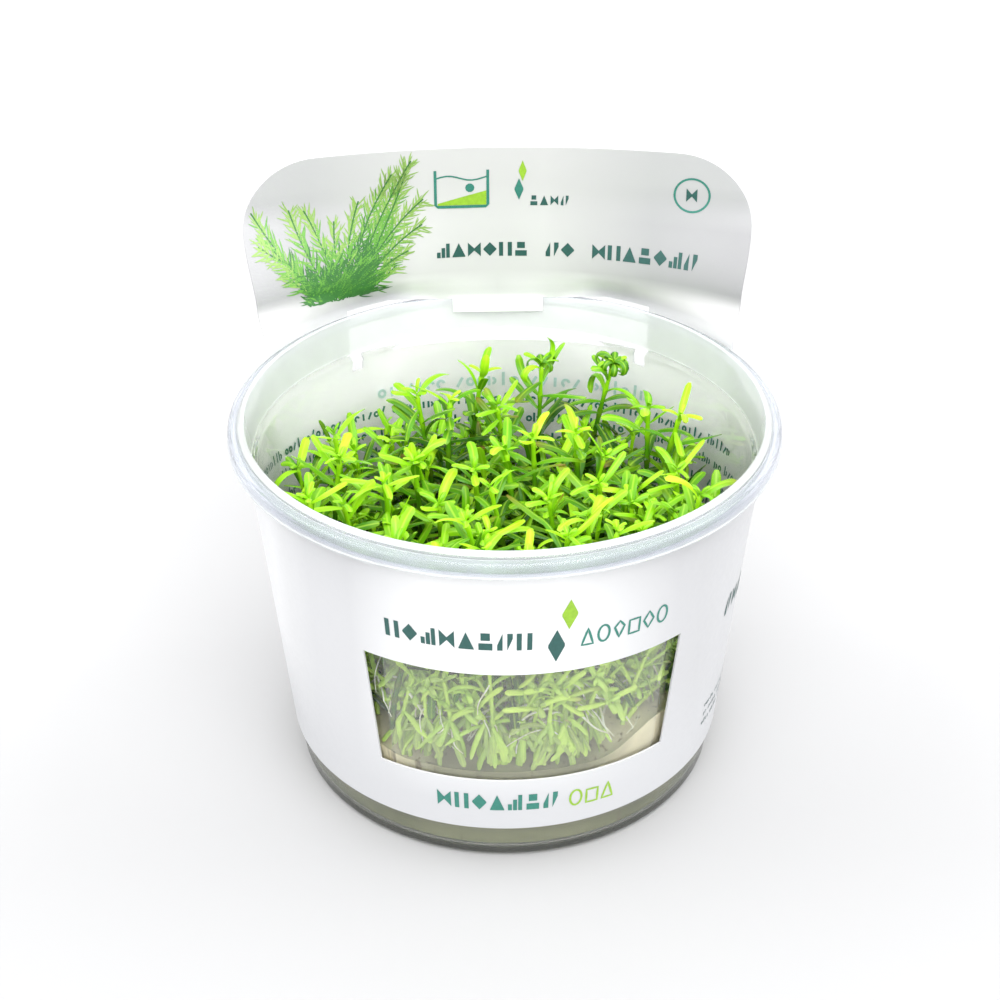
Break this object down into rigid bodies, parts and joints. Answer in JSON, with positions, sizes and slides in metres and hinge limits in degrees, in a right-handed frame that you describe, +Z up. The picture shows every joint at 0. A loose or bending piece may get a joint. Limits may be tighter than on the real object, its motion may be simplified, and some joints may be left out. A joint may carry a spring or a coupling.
{
  "type": "aquarium plant tissue culture cup",
  "caption": "Clear tapered culture cup in a white card sleeve with a window and a raised back card, filled with narrow-leaved aquarium stem plants on gel.",
  "frame": {"origin": "middle of the cup's round base, on the surface it stands on", "axes": "+Z up along the cup's axis, -Y towards the front with the sleeve's window, +Y towards the raised card, +X to the right seen from the front"},
  "size_m": [0.0992, 0.0992, 0.102],
  "materials": {
    "clear_plastic": "clear, glossy, slightly hazy injection-moulded plastic",
    "culture_gel": "translucent beige jelly with brown root streaks",
    "white_card": "smooth coated white card with green and teal print",
    "leaf_green": "fresh waxy leaves, yellow-green at the tips, darker below, with pale midribs"
  },
  "bodies": {
    "root": {"cup": "clear_plastic", "gel": "culture_gel", "sleeve": "white_card", "shoot_01": "leaf_green", "shoot_02": "leaf_green", "shoot_03": "leaf_green", "shoot_04": "leaf_green", "shoot_05": "leaf_green", "shoot_06": "leaf_green", "shoot_07": "leaf_green", "shoot_08": "leaf_green", "shoot_09": "leaf_green", "shoot_10": "leaf_green", "shoot_11": "leaf_green", "shoot_12": "leaf_green", "shoot_13": "leaf_green", "shoot_14": "leaf_green", "shoot_15": "leaf_green", "shoot_16": "leaf_green", "shoot_17": "leaf_green", "shoot_18": "leaf_green", "shoot_19": "leaf_green", "shoot_20": "leaf_green", "shoot_21": "leaf_green", "shoot_22": "leaf_green", "shoot_23": "leaf_green", "shoot_24": "leaf_green", "shoot_25": "leaf_green", "shoot_26": "leaf_green", "shoot_27": "leaf_green", "shoot_28": "leaf_green", "shoot_29": "leaf_green", "shoot_30": "leaf_green", "shoot_31": "leaf_green", "shoot_32": "leaf_green", "shoot_33": "leaf_green", "shoot_34": "leaf_green", "shoot_35": "leaf_green", "shoot_36": "leaf_green", "shoot_37": "leaf_green", "shoot_38": "leaf_green", "shoot_39": "leaf_green", "shoot_40": "leaf_green"}
  },
  "joints": []
}
